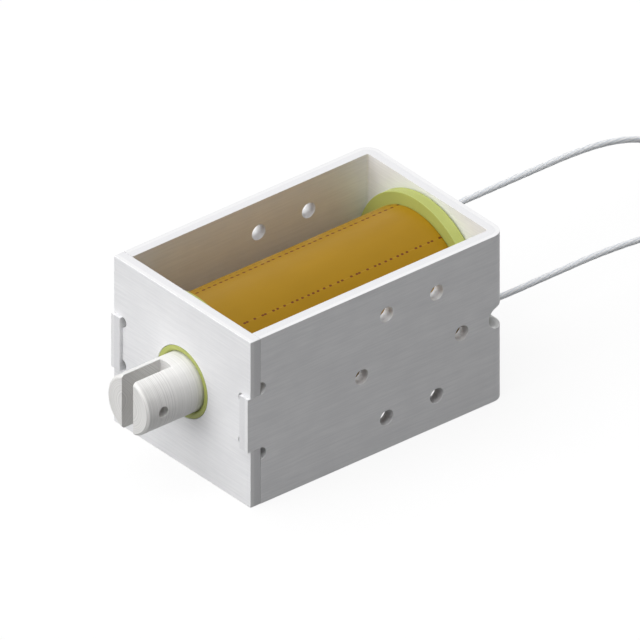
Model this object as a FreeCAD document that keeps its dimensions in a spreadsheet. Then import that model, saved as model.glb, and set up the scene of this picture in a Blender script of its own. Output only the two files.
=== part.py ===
"""Open frame push-pull solenoid: a folded steel frame, a bobbin-wound coil and a sliding plunger.

Millimetres. X runs across the frame, Y from the clevis end to the back, Z up.
The origin is under the middle of the frame, on the surface that the frame stands on.
Every piece round the plunger's axis is drawn about that axis and lifted with it.
"""
import FreeCAD, Part
import math
import os
from types import SimpleNamespace

import Sketcher

V = FreeCAD.Vector

SIZES = {
    # the folded channel: two sides and a back, open above and below
    "frame_length": 65.0,
    "frame_width": 42.0,
    "frame_height": 38.1,
    "sheet_thickness": 2.6,
    "bend_inner_radius": 0.5,
    # the flat front plate and the tabs that are staked through it
    "plate_thickness": 2.6,
    "tab_height": 12.2,
    "tab_proud": 0.7,
    "shoulder_notch_radius": 1.4,
    "plate_relief_radius": 1.15,
    "plate_bore_clearance": 0.05,
    # the screw holes in both sides: four on a rectangle and two in line
    "screw_hole_radius": 1.7,
    "screw_group_from_front": 41.0,
    "screw_rows_apart": 23.8,
    "screw_columns_apart": 12.7,
    "screw_line_apart": 25.4,
    # the lead slot that wraps round each back bend
    "lead_slot_height": 5.0,
    "lead_slot_side_reach": 4.4,
    "lead_slot_back_reach": 14.2,
    # the plunger and its clevis
    "plunger_radius": 6.35,
    "clevis_reach": 13.9,
    "clevis_chamfer": 0.5,
    "clevis_slot_width": 3.5,
    "clevis_slot_depth": 9.7,
    "clevis_pin_radius": 1.2,
    "clevis_pin_setback": 4.0,
    "inner_chamfer": 0.5,
    "plunger_seat_gap": 0.1,
    # the push pin that is pressed into the plunger
    "push_pin_radius": 2.0,
    "push_pin_grip": 12.0,
    "push_pin_reach": 13.9,
    "push_pin_chamfer": 0.4,
    "push_pin_clearance": 0.2,
    # the pole piece that is staked into the back
    "pole_length": 23.4,
    "pole_side_clearance": 0.05,
    "pole_chamfer": 0.4,
    "tenon_radius": 3.6,
    "stake_head_radius": 4.3,
    "stake_head_thickness": 0.5,
    "washer_thickness": 0.4,
    "washer_rim_setback": 0.3,
    # the moulded bobbin
    "plunger_side_clearance": 0.1,
    "nose_wall": 1.25,
    "tube_wall": 1.1,
    "bobbin_mouth_chamfer": 0.35,
    "flange_side_clearance": 0.1,
    "flange_rim_chamfer": 0.5,
    "front_flange_thickness": 1.2,
    "rear_flange_thickness": 2.8,
    # the coil's layers
    "core_tape_thickness": 0.2,
    "winding_radius": 13.9,
    "wrap_radius": 15.8,
    # the splice between each lead and the magnet wire, under the wrap
    "lead_radius": 0.65,
    "splice_offset": 14.85,
    "sleeve_radius": 0.75,
    "sleeve_bore_radius": 0.5,
    "sleeve_length": 12.0,
    "solder_length": 8.0,
    "magnet_wire_radius": 0.25,
    "magnet_wire_clearance": 0.05,
    "lead_notch_clearance": 0.15,
    # the put-away part of each lead
    "coil_ring_radius": 7.15,
    "coil_ring_width": 2.0,
    "bare_end_radius": 0.4,
    "bare_end_length": 6.0,
}


class Size:
    """A number that also knows the sheet expression that gives it."""

    def __init__(self, value, text):
        self.value = float(value)
        self.text = text

    def __add__(self, other):
        other = as_size(other)
        return Size(self.value + other.value, f"({self.text} + {other.text})")

    def __sub__(self, other):
        other = as_size(other)
        return Size(self.value - other.value, f"({self.text} - {other.text})")

    def __mul__(self, factor):
        return Size(self.value * factor, f"({self.text} * {factor})")

    def __truediv__(self, factor):
        return Size(self.value / factor, f"({self.text} / {factor})")

    def __neg__(self):
        return Size(-self.value, f"(-1 * {self.text})")


def as_size(number):
    """Let a plain number stand where a size is wanted."""
    return number if isinstance(number, Size) else Size(number, str(number))


doc = FreeCAD.newDocument("push_pull_solenoid")
sheet = doc.addObject("Spreadsheet::Sheet", "sizes")
for row, (name, value) in enumerate(SIZES.items(), start=1):
    sheet.set(f"A{row}", name)
    sheet.set(f"B{row}", str(value))
    sheet.setAlias(f"B{row}", name)
doc.recompute()
d = SimpleNamespace(**{name: Size(value, "sizes." + name) for name, value in SIZES.items()})
ZERO = as_size(0)

# places that several pieces share
half_length = d.frame_length / 2
half_width = d.frame_width / 2
half_height = d.frame_height / 2
axis_height = half_height
front_y = -half_length
plate_back_y = front_y + d.plate_thickness
back_y = half_length
wall_y = back_y - d.sheet_thickness
wall_x = half_width - d.sheet_thickness
bend_x = wall_x - d.bend_inner_radius
bend_y = wall_y - d.bend_inner_radius
clevis_tip_y = front_y - d.clevis_reach
pole_face_y = wall_y - d.pole_length
washer_face_y = pole_face_y - d.washer_thickness
plunger_end_y = washer_face_y - d.plunger_seat_gap
push_tip_y = back_y + d.push_pin_reach
bobbin_bore = d.plunger_radius + d.plunger_side_clearance
nose_radius = bobbin_bore + d.nose_wall
tube_radius = bobbin_bore + d.tube_wall
core_tape_radius = tube_radius + d.core_tape_thickness
flange_radius = wall_x - d.flange_side_clearance
winding_front_y = plate_back_y + d.front_flange_thickness
winding_rear_y = wall_y - d.rear_flange_thickness
sleeve_front_y = winding_rear_y - d.sleeve_length
solder_front_y = winding_rear_y - d.solder_length
tail_y = sleeve_front_y - d.magnet_wire_radius - d.magnet_wire_clearance


def bind(thing, prop, size):
    """Tie one property of an object to the sheet."""
    thing.setExpression(prop, as_size(size).text)


def new_body(label):
    """A body about the plunger's axis, lifted so that the frame stands on z = 0."""
    body = doc.addObject("PartDesign::Body", label)
    body.Label = label
    bind(body, "Placement.Base.z", axis_height)
    return body


def new_sketch(body, name, role, offset=ZERO):
    """A sketch on one of the body's own origin planes, moved along that plane's normal."""
    plane = next(f for f in body.Origin.OriginFeatures if f.Role == role)
    sketch = body.newObject("Sketcher::SketchObject", name)
    sketch.AttachmentSupport = [(plane, "")]
    sketch.MapMode = "FlatFace"
    bind(sketch, "AttachmentOffset.Base.z", offset)
    return sketch


def pin_point(sketch, element, point, x, y):
    """Hold one point of a sketch element at a place given by two sizes."""
    for kind, size in (("DistanceX", x), ("DistanceY", y)):
        size = as_size(size)
        index = sketch.addConstraint(Sketcher.Constraint(kind, -1, 1, element, point, size.value))
        name = f"{kind[-1].lower()}_{element}_{point}"
        sketch.renameConstraint(index, name)
        bind(sketch, "Constraints." + name, size)


def add_circle(sketch, x, y, radius):
    """A circle of a given centre and radius."""
    x, y, radius = as_size(x), as_size(y), as_size(radius)
    circle = Part.Circle(V(x.value, y.value, 0), V(0, 0, 1), radius.value)
    element = sketch.addGeometry(circle, False)
    pin_point(sketch, element, 3, x, y)
    index = sketch.addConstraint(Sketcher.Constraint("Radius", element, radius.value))
    name = f"radius_{element}"
    sketch.renameConstraint(index, name)
    bind(sketch, "Constraints." + name, radius)


def arc(x, y, anticlockwise):
    """An outline's arc about a centre, from the corner before it to the corner after it."""
    return SimpleNamespace(x=as_size(x), y=as_size(y), anticlockwise=anticlockwise)


def arc_geometry(centre, start, end):
    """The arc itself, which always runs anticlockwise from its first point to its second."""
    radius = math.hypot(start[0].value - centre.x.value, start[1].value - centre.y.value)
    angles = [math.atan2(p[1].value - centre.y.value, p[0].value - centre.x.value) for p in (start, end)]
    if not centre.anticlockwise:
        angles.reverse()
    if angles[1] <= angles[0]:
        angles[1] += 2 * math.pi
    circle = Part.Circle(V(centre.x.value, centre.y.value, 0), V(0, 0, 1), radius)
    return Part.ArcOfCircle(circle, angles[0], angles[1])


def add_outline(sketch, path):
    """A closed outline of corners (x, y) joined by lines, or by the arcs that stand between them."""
    corners = []
    arcs_after = {}
    for item in path:
        if isinstance(item, tuple):
            corners.append((as_size(item[0]), as_size(item[1])))
        else:
            arcs_after[len(corners) - 1] = item
    joints = []
    for i, start in enumerate(corners):
        end = corners[(i + 1) % len(corners)]
        centre = arcs_after.get(i)
        if centre is None:
            line = Part.LineSegment(V(start[0].value, start[1].value, 0), V(end[0].value, end[1].value, 0))
            joints.append((sketch.addGeometry(line, False), 1, 2))
            continue
        element = sketch.addGeometry(arc_geometry(centre, start, end), False)
        joints.append((element, 1, 2) if centre.anticlockwise else (element, 2, 1))
        # the centre's place across the arc's chord is the one thing that its two ends leave open
        level = abs(end[1].value - start[1].value) < abs(end[0].value - start[0].value)
        kind, size = ("DistanceY", centre.y) if level else ("DistanceX", centre.x)
        index = sketch.addConstraint(Sketcher.Constraint(kind, -1, 1, element, 3, size.value))
        name = f"centre_{element}"
        sketch.renameConstraint(index, name)
        bind(sketch, "Constraints." + name, size)
    for i, (element, first, last) in enumerate(joints):
        following = joints[(i + 1) % len(joints)]
        sketch.addConstraint(Sketcher.Constraint("Coincident", element, last, following[0], following[1]))
        pin_point(sketch, element, first, *corners[i])


def pad(body, sketch, length):
    """Pad a sketch along its own normal."""
    feature = body.newObject("PartDesign::Pad", sketch.Name + "_pad")
    feature.Profile = sketch
    bind(feature, "Length", length)
    return feature


def pocket(body, sketch, length=None, along_normal=False):
    """Cut a sketch to a depth, or right through both ways where no depth is given."""
    feature = body.newObject("PartDesign::Pocket", sketch.Name + "_pocket")
    feature.Profile = sketch
    if length is None:
        feature.SideType = "Symmetric"
        feature.Type = "ThroughAll"
    else:
        bind(feature, "Length", length)
        feature.Reversed = along_normal
    return feature


def turned(label, profile):
    """A piece turned about the plunger's axis from an outline of (radius, y)."""
    body = new_body(label)
    sketch = new_sketch(body, label + "_profile", "XY_Plane")
    add_outline(sketch, profile)
    feature = body.newObject("PartDesign::Revolution", label + "_turn")
    feature.Profile = sketch
    feature.ReferenceAxis = (sketch, ["V_Axis"])
    feature.Angle = 360
    return body


def drawn_along_y(label, start_y, end_y, circles):
    """A round piece between two places on Y, from circles (x, radius): the first outside, the rest holes."""
    body = new_body(label)
    sketch = new_sketch(body, label + "_section", "XZ_Plane", -end_y)
    for x, radius in circles:
        add_circle(sketch, x, ZERO, radius)
    pad(body, sketch, end_y - start_y)
    return body


def frame_channel():
    """One strip folded into two sides and a back, with tabs that pass through the front plate."""
    body = new_body("frame_channel")
    tab_tip_y = front_y - d.tab_proud
    sketch = new_sketch(body, "channel_outline", "XY_Plane", -half_height)
    add_outline(sketch, [
        (half_width, tab_tip_y),
        (half_width, bend_y),
        arc(bend_x, bend_y, True),
        (bend_x, back_y),
        (-bend_x, back_y),
        arc(-bend_x, bend_y, True),
        (-half_width, bend_y),
        (-half_width, tab_tip_y),
        (-wall_x, tab_tip_y),
        (-wall_x, bend_y),
        arc(-bend_x, bend_y, False),
        (-bend_x, wall_y),
        (bend_x, wall_y),
        arc(bend_x, bend_y, False),
        (wall_x, bend_y),
        (wall_x, tab_tip_y),
    ])
    pad(body, sketch, d.frame_height)

    # above and below each tab the side ends at the plate, with a half-round notch beside the tab
    sketch = new_sketch(body, "tab_shoulders", "YZ_Plane")
    notch = d.shoulder_notch_radius
    beyond = tab_tip_y - d.tab_proud
    for up in (1, -1):
        add_outline(sketch, [
            (beyond, d.tab_height / 2 * up),
            (plate_back_y, d.tab_height / 2 * up),
            arc(plate_back_y, (d.tab_height / 2 + notch) * up, up > 0),
            (plate_back_y, (d.tab_height / 2 + notch * 2) * up),
            (plate_back_y, d.frame_height * up),
            (beyond, d.frame_height * up),
        ])
    pocket(body, sketch)

    sketch = new_sketch(body, "screw_holes", "YZ_Plane")
    group_y = front_y + d.screw_group_from_front
    for way in (1, -1):
        add_circle(sketch, group_y + d.screw_line_apart / 2 * way, ZERO, d.screw_hole_radius)
        for up in (1, -1):
            column = group_y + d.screw_columns_apart / 2 * way
            add_circle(sketch, column, d.screw_rows_apart / 2 * up, d.screw_hole_radius)
    pocket(body, sketch)

    # each lead slot is cut across its bend: from the side as far as the bend, from the back past it
    slot = d.lead_slot_height / 2
    for side in (1, -1):
        sketch = new_sketch(body, "side_slot" + ("_right" if side > 0 else "_left"), "YZ_Plane", bend_x * side)
        centre_y = back_y - d.lead_slot_side_reach + slot
        past_y = back_y + slot
        add_outline(sketch, [
            (past_y, -slot),
            (past_y, slot),
            (centre_y, slot),
            arc(centre_y, ZERO, True),
            (centre_y, -slot),
        ])
        pocket(body, sketch, d.frame_width, along_normal=side > 0)
    sketch = new_sketch(body, "back_slots", "XZ_Plane", -back_y)
    for side in (1, -1):
        centre_x = d.lead_slot_back_reach + slot
        add_outline(sketch, [
            (bend_x * side, -slot),
            (bend_x * side, slot),
            (centre_x * side, slot),
            arc(centre_x * side, ZERO, side > 0),
            (centre_x * side, -slot),
        ])
    pocket(body, sketch, d.sheet_thickness * 1.2, along_normal=True)

    sketch = new_sketch(body, "tenon_hole", "XZ_Plane", -back_y)
    add_circle(sketch, ZERO, ZERO, d.tenon_radius)
    pocket(body, sketch, d.sheet_thickness * 1.2, along_normal=True)
    return body


def front_plate():
    """The flat plate that closes the magnetic circuit round the plunger, notched for the tabs."""
    body = new_body("front_plate")
    sketch = new_sketch(body, "plate_outline", "XZ_Plane", -plate_back_y)
    relief = d.plate_relief_radius
    edge = d.tab_height / 2
    path = []
    for side in (1, -1):
        inner = wall_x * side
        outer = half_width * side
        path += [
            (outer, -half_height * side),
            (outer, -edge * side),
            (inner, -edge * side),
            arc(inner, (relief - edge) * side, False),
            (inner, (relief * 2 - edge) * side),
            (inner, (edge - relief * 2) * side),
            arc(inner, (edge - relief) * side, False),
            (inner, edge * side),
            (outer, edge * side),
            (outer, half_height * side),
        ]
    add_outline(sketch, path)
    add_circle(sketch, ZERO, ZERO, nose_radius + d.plate_bore_clearance)
    pad(body, sketch, d.plate_thickness)
    return body


def bobbin():
    """The moulded spool: its nose fills the plate's bore and its tube guides the plunger."""
    chamfer = d.bobbin_mouth_chamfer
    rim = d.flange_rim_chamfer
    body = turned("bobbin", [
        (bobbin_bore + chamfer, front_y),
        (nose_radius, front_y),
        (nose_radius, plate_back_y),
        (flange_radius, plate_back_y),
        (flange_radius, winding_front_y),
        (tube_radius, winding_front_y),
        (tube_radius, winding_rear_y),
        (flange_radius, winding_rear_y),
        (flange_radius, wall_y - rim),
        (flange_radius - rim, wall_y),
        (bobbin_bore, wall_y),
        (bobbin_bore, front_y + chamfer),
    ])
    # the rear flange is notched at both sides, where the leads are laid in
    sketch = new_sketch(body, "lead_notches", "XZ_Plane", -wall_y)
    half_notch = d.lead_radius + d.lead_notch_clearance
    for side in (1, -1):
        outer = half_width * side
        inner = d.splice_offset * side
        add_outline(sketch, [
            (outer, -half_notch),
            (outer, half_notch),
            (inner, half_notch),
            arc(inner, ZERO, side > 0),
            (inner, -half_notch),
        ])
    pocket(body, sketch, d.rear_flange_thickness, along_normal=True)
    return body


def coil_wrap():
    """The outer tape, with a channel on each side for the splice that it holds down."""
    body = drawn_along_y("coil_wrap", winding_front_y, winding_rear_y, [
        (ZERO, d.wrap_radius),
        (ZERO, d.winding_radius),
    ])
    bend_room = d.magnet_wire_radius * 2 + d.magnet_wire_clearance * 2
    sketch = new_sketch(body, "splice_channels", "XZ_Plane", -winding_rear_y)
    for side in (1, -1):
        add_circle(sketch, d.splice_offset * side, ZERO, d.sleeve_radius)
    pocket(body, sketch, d.sleeve_length + bend_room, along_normal=True)
    for side in (1, -1):
        sketch = new_sketch(body, "tail_hole" + ("_right" if side > 0 else "_left"), "YZ_Plane",
                            d.splice_offset * side)
        add_circle(sketch, tail_y, ZERO, d.magnet_wire_radius + d.magnet_wire_clearance)
        pocket(body, sketch, d.splice_offset - d.winding_radius * 0.98, along_normal=side < 0)
    return body


def pole_piece():
    """The fixed iron core behind the plunger, bored for the push pin and staked into the back."""
    bore = d.push_pin_radius + d.push_pin_clearance
    radius = bobbin_bore - d.pole_side_clearance
    head_y = back_y + d.stake_head_thickness
    return turned("pole_piece", [
        (bore, pole_face_y),
        (radius - d.pole_chamfer, pole_face_y),
        (radius, pole_face_y + d.pole_chamfer),
        (radius, wall_y),
        (d.tenon_radius, wall_y),
        (d.tenon_radius, back_y),
        (d.stake_head_radius, back_y),
        (d.stake_head_radius - d.stake_head_thickness, head_y),
        (bore, head_y),
    ])


def plunger():
    """The sliding iron rod, with a slotted clevis in front and a hole for the push pin behind."""
    body = turned("plunger", [
        (ZERO, clevis_tip_y),
        (d.plunger_radius - d.clevis_chamfer, clevis_tip_y),
        (d.plunger_radius, clevis_tip_y + d.clevis_chamfer),
        (d.plunger_radius, plunger_end_y - d.inner_chamfer),
        (d.plunger_radius - d.inner_chamfer, plunger_end_y),
        (d.push_pin_radius, plunger_end_y),
        (d.push_pin_radius, plunger_end_y - d.push_pin_grip),
        (ZERO, plunger_end_y - d.push_pin_grip),
    ])
    sketch = new_sketch(body, "clevis_slot", "XY_Plane")
    half_slot = d.clevis_slot_width / 2
    slot_end_y = clevis_tip_y + d.clevis_slot_depth
    beyond_tip_y = clevis_tip_y - d.clevis_chamfer
    add_outline(sketch, [
        (half_slot, beyond_tip_y),
        (half_slot, slot_end_y),
        (-half_slot, slot_end_y),
        (-half_slot, beyond_tip_y),
    ])
    pocket(body, sketch)
    sketch = new_sketch(body, "clevis_hole", "YZ_Plane")
    add_circle(sketch, clevis_tip_y + d.clevis_pin_setback, ZERO, d.clevis_pin_radius)
    pocket(body, sketch)
    return body


def push_pin():
    """The non-magnetic rod that carries the push out through the back."""
    chamfer = d.push_pin_chamfer
    start_y = plunger_end_y - d.push_pin_grip
    return turned("push_pin", [
        (ZERO, start_y),
        (d.push_pin_radius, start_y),
        (d.push_pin_radius, push_tip_y - chamfer),
        (d.push_pin_radius - chamfer, push_tip_y),
        (ZERO, push_tip_y),
    ])


def magnet_wire_tail(label, side):
    """The winding's last few millimetres: out of the coil, round a square bend and into the splice."""
    body = new_body(label)
    sketch = new_sketch(body, label + "_run", "XZ_Plane", -solder_front_y)
    add_circle(sketch, d.splice_offset * side, ZERO, d.magnet_wire_radius)
    pad(body, sketch, solder_front_y - tail_y)
    sketch = new_sketch(body, label + "_rise", "YZ_Plane", d.splice_offset * side)
    add_circle(sketch, tail_y, ZERO, d.magnet_wire_radius)
    rise = pad(body, sketch, d.splice_offset - d.winding_radius)
    rise.Reversed = side > 0
    return body


def lead_path(points):
    """A wire of straight runs joined by arcs, each arc as large as its two runs allow."""
    edges = []
    start = V(*points[0])
    for before, corner, after in zip(points, points[1:], points[2:]):
        before, corner, after = V(*before), V(*corner), V(*after)
        back = (before - corner).normalize()
        ahead = (after - corner).normalize()
        half_turn = (math.pi - back.getAngle(ahead)) / 2
        cut = 0.45 * min((before - corner).Length, (after - corner).Length)
        radius = cut / math.tan(half_turn)
        inwards = (back + ahead).normalize()
        middle = corner + inwards * (radius / math.cos(half_turn) - radius)
        first = corner + back * cut
        last = corner + ahead * cut
        edges.append(Part.LineSegment(start, first).toShape())
        edges.append(Part.Arc(first, middle, last).toShape())
        start = last
        print(f"  bend radius {radius:.1f} mm")
    edges.append(Part.LineSegment(start, V(*points[-1])).toShape())
    return Part.Wire(edges)


def lead(label, points):
    """The free stretch of a lead, swept along its path."""
    print(label)
    radius = sheet.lead_radius
    path = lead_path(points)
    section = Part.Wire([Part.makeCircle(radius, V(*points[0]), V(*points[1]) - V(*points[0]))])
    tube = path.makePipeShell([section], True, True)
    expected = math.pi * radius**2 * path.Length
    print(f"  length {path.Length:.1f} mm, volume {tube.Volume:.2f} mm3, section times length {expected:.2f}")
    feature = doc.addObject("Part::Feature", label)
    feature.Label = label
    feature.Shape = tube
    return feature


def coil_ring(label, x, y):
    """The outer shape of a lead's put-away turns, two deep, on the surface that the frame stands on."""
    body = new_body(label)
    sketch = new_sketch(body, label + "_ring", "XY_Plane", -axis_height)
    add_circle(sketch, x, y, d.coil_ring_radius + d.coil_ring_width / 2)
    add_circle(sketch, x, y, d.coil_ring_radius - d.coil_ring_width / 2)
    pad(body, sketch, d.lead_radius * 4)
    return body


def bare_end(label, start, direction):
    """The tinned strands at a lead's free end, leaving the coil's top turn and drooping to the surface."""
    rod = doc.addObject("Part::Cylinder", label)
    rod.Label = label
    bind(rod, "Radius", d.bare_end_radius)
    bind(rod, "Height", d.bare_end_length)
    rod.Placement = FreeCAD.Placement(V(*start), FreeCAD.Rotation(V(0, 0, 1), V(*direction)))
    return rod


pieces = [
    frame_channel(),
    front_plate(),
    bobbin(),
    drawn_along_y("core_tape", winding_front_y, winding_rear_y, [
        (ZERO, core_tape_radius),
        (ZERO, tube_radius),
    ]),
    drawn_along_y("magnet_wire_coil", winding_front_y, winding_rear_y, [
        (ZERO, d.winding_radius),
        (ZERO, core_tape_radius),
    ]),
    coil_wrap(),
    pole_piece(),
    drawn_along_y("anti_residual_washer", washer_face_y, pole_face_y, [
        (ZERO, bobbin_bore - d.washer_rim_setback),
        (ZERO, d.push_pin_radius + d.push_pin_clearance),
    ]),
    plunger(),
    push_pin(),
]
for side_name, side in (("left", -1), ("right", 1)):
    pieces.append(drawn_along_y("splice_sleeve_" + side_name, sleeve_front_y, winding_rear_y, [
        (d.splice_offset * side, d.sleeve_radius),
        (d.splice_offset * side, d.sleeve_bore_radius),
    ]))
    pieces.append(drawn_along_y("solder_joint_" + side_name, solder_front_y, winding_rear_y, [
        (d.splice_offset * side, d.sleeve_bore_radius),
    ]))
    pieces.append(magnet_wire_tail("magnet_wire_tail_" + side_name, side))

# each lead comes out of its slot, stays level while it is stiff, and comes down behind
LEFT_ROUTE = [
    (-14.85, 27.2, 19.05),
    (-15.85, 34.5, 19.1),
    (-16.35, 46.5, 19.15),
    (-16.45, 65.5, 19.05),
    (-16.5, 84.5, 18.35),
    (-16.9, 97.0, 15.5),
    (-17.9, 105.5, 9.8),
    (-19.4, 112.4, 3.8),
    (-21.9, 119.9, 0.65),
]
RIGHT_ROUTE = [
    (14.85, 27.17, 19.05),
    (15.55, 34.5, 19.05),
    (15.7, 46.5, 19.0),
    (15.75, 63.5, 18.6),
    (16.1, 80.5, 17.1),
    (17.0, 92.0, 13.5),
    (18.3, 100.0, 7.9),
    (20.3, 106.8, 2.8),
    (23.2, 114.2, 0.65),
]
pieces.append(lead("lead_left", LEFT_ROUTE))
pieces.append(lead("lead_right", RIGHT_ROUTE))
pieces.append(coil_ring("lead_coil_left", -16.78, 127.14))
pieces.append(coil_ring("lead_coil_right", 18.46, 121.7))
pieces.append(bare_end("bare_end_left", (-25.2, 129.81, 1.65), (-0.316, 0.949, -0.2)))
pieces.append(bare_end("bare_end_right", (27.01, 123.93, 1.65), (0.365, 0.931, -0.2)))
doc.recompute()

for thing in doc.Objects:
    if "Invalid" in thing.State or "Error" in thing.State:
        raise RuntimeError(f"{thing.Label} did not build: {thing.State}")
for piece in pieces:
    if piece.Shape.isNull() or not piece.Shape.isValid() or not piece.Shape.Solids:
        raise RuntimeError(f"{piece.Label} has no sound solid")

os.makedirs("parts", exist_ok=True)
for piece in pieces:
    piece.Shape.exportStep(f"parts/{piece.Label}.step")
    print(f"{piece.Label}: {piece.Shape.Volume:.1f} mm3")
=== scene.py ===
# %% [markdown]
# # A push-pull solenoid, dressed for its portrait
#
# The solid model already has every piece in its place. This lesson gives each piece the surface
# that the real one has, lays the two leads, and sets up a plain studio round them.

# %% Load the solid model
import math

import bmesh
import bpy
import numpy as np
from mathutils import Matrix


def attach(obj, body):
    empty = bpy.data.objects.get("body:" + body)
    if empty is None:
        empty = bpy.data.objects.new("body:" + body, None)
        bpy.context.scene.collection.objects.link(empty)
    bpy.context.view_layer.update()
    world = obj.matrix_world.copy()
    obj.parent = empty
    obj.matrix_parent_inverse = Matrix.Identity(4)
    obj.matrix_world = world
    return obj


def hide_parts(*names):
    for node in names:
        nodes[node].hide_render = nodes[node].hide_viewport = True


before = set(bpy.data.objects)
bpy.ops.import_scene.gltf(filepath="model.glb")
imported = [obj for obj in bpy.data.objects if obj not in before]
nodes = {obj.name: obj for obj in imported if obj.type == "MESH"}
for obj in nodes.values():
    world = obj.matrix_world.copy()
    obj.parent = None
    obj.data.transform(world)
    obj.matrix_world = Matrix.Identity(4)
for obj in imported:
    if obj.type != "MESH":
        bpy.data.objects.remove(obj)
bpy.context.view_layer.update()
MM = 0.001
print("pieces in the solid model:", len(nodes))

# %% [markdown]
# ## The camera
#
# The picture is a drawing without perspective, seen from the front right and above, so the camera
# is orthographic. Its place comes from the slopes of the frame's edges in the picture: the length
# runs up to the right, and the width down to the right. Three directions hold that whole view:
# to the right of the picture, up the picture, and from the object to the camera.

# %% Place the camera
PICTURE_RIGHT = np.array([0.6371, 0.7708, 0.0])
PICTURE_UP = np.array([-0.4085, 0.3376, 0.8481])
TO_CAMERA = np.cross(PICTURE_RIGHT, PICTURE_UP)
PICTURE_CENTRE = np.array([12.25, -7.59, 29.34]) * MM
PICTURE_WIDTH = 125.35 * MM
CAMERA_DISTANCE = 600 * MM

camera_data = bpy.data.cameras.new("portrait_camera")
camera_data.type = "ORTHO"
camera_data.ortho_scale = PICTURE_WIDTH
camera_data.clip_start = 0.01
camera_data.clip_end = 5.0
camera = bpy.data.objects.new("portrait_camera", camera_data)
bpy.context.scene.collection.objects.link(camera)
camera_pose = np.eye(4)
camera_pose[:3, 0] = PICTURE_RIGHT
camera_pose[:3, 1] = PICTURE_UP
camera_pose[:3, 2] = TO_CAMERA
camera_pose[:3, 3] = PICTURE_CENTRE + TO_CAMERA * CAMERA_DISTANCE
camera.matrix_world = Matrix(camera_pose)
bpy.context.scene.camera = camera
print("the picture is", round(PICTURE_WIDTH / MM, 1), "mm wide")

# %% [markdown]
# ## Surfaces from grids
#
# Most new pieces here are one grid of points, wrapped round into a tube. Numpy works out all the
# points at once, and this helper turns the grid into a mesh. It closes the tube round its section
# and puts a flat face over each end. Then it measures the volume, and if that is negative, the
# faces point inwards and are turned round.

# %% A mesh from a grid
TUBE_SHARP_ANGLE = math.radians(40)


def mesh_from_tubes(name, tubes, ends_joined=False):
    """One mesh from tubes, each a grid of points (place along, place round, xyz), closed round.

    A tube's ends get a flat face each, or they are joined to each other, as on a ring. Six times
    the volume is the sum, over both triangles of each face, of one corner's dot product with the
    cross product of the other two."""
    points = []
    faces = []
    for grid in tubes:
        rows, columns = grid.shape[:2]
        index = np.arange(rows * columns).reshape(rows, columns) + sum(len(p) for p in points)
        wrapped = np.concatenate([index, index[:, :1]], axis=1)
        if ends_joined:
            wrapped = np.concatenate([wrapped, wrapped[:1]], axis=0)
        quads = [wrapped[:-1, :-1], wrapped[:-1, 1:], wrapped[1:, 1:], wrapped[1:, :-1]]
        quads = np.stack(quads, axis=-1).reshape(-1, 4)
        tube_points = grid.reshape(-1, 3)
        a, b, c, d = (tube_points[quads[:, i] - index[0, 0]] for i in range(4))
        middle = tube_points.mean(axis=0)
        volume = np.einsum("ij,ij->", a - middle, np.cross(c - middle, d - middle))
        volume += np.einsum("ij,ij->", a - middle, np.cross(b - middle, c - middle))
        way_round = -1 if volume < 0 else 1
        faces += quads[:, ::way_round].tolist()
        if not ends_joined:
            faces += [index[0, ::-way_round].tolist(), index[-1, ::way_round].tolist()]
        points.append(tube_points)
    mesh = bpy.data.meshes.new(name)
    mesh.from_pydata(np.concatenate(points).tolist(), [], faces)
    mesh.shade_smooth()
    mesh.set_sharp_from_angle(angle=TUBE_SHARP_ANGLE)
    return mesh


def store(mesh, name, values):
    """Keep one number for each point of a mesh, for a material to read."""
    attribute = mesh.attributes.new(name, "FLOAT", "POINT")
    attribute.data.foreach_set("value", np.asarray(values, dtype=np.float32).ravel())


def piece_from_mesh(name, mesh, material, body="frame", replaced=()):
    """Put a mesh into the scene as a piece that rides on a body and stands for some solids."""
    piece = bpy.data.objects.new(name, mesh)
    bpy.context.scene.collection.objects.link(piece)
    mesh.materials.clear()
    mesh.materials.append(material)
    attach(piece, body)
    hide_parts(*replaced)
    print(name, len(mesh.polygons), "faces")
    return piece


# %% [markdown]
# ## Helpers for materials
#
# Colours are written as they look on a screen and turned into the linear light that the shader
# counts in. One small function adds any node: it fills the node's inputs or links them, and gives
# back the output that the next node needs. A number that is the same all over a surface goes
# straight to the shader's own socket.

# %% Colours and nodes
def linear(hex_colour):
    """Screen colour to linear light: c/12.92 near black, ((c + 0.055)/1.055) to the power 2.4 above."""
    c = np.array([int(hex_colour[i:i + 2], 16) for i in (1, 3, 5)]) / 255
    light = np.where(c <= 0.04045, c / 12.92, ((c + 0.055) / 1.055) ** 2.4)
    return (*light.tolist(), 1.0)


def add(tree, kind, inputs=None, take=0, **settings):
    """Add one node with its settings, fill or link its inputs, and give back one of its outputs.

    Its kind goes without the word ShaderNode, and an input that is a hex colour is turned to
    linear light."""
    node = tree.nodes.new("ShaderNode" + kind)
    for name, value in settings.items():
        setattr(node, name, value)
    for socket, value in (inputs or {}).items():
        if isinstance(value, bpy.types.NodeSocket):
            tree.links.new(value, node.inputs[socket])
        else:
            node.inputs[socket].default_value = linear(value) if isinstance(value, str) else value
    return node.outputs[take]


def new_material(name, **constants):
    """A material with one Principled shader, its constant values on the shader's own sockets."""
    material = bpy.data.materials.new(name)
    material.use_nodes = True
    shader = material.node_tree.nodes["Principled BSDF"]
    for socket, value in constants.items():
        shader.inputs[socket.replace("_", " ")].default_value = value
    print("finish:", name)
    return material, material.node_tree, shader


def feed(tree, shader, **outputs):
    """Link outputs of other nodes to the shader's own sockets."""
    for socket, output in outputs.items():
        tree.links.new(output, shader.inputs[socket.replace("_", " ")])


# a Mix node has sockets for every kind of data, and these are the ones for colours
FACTOR, FIRST, SECOND = 0, 6, 7
COLOURS = {"take": 2, "data_type": "RGBA"}

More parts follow.
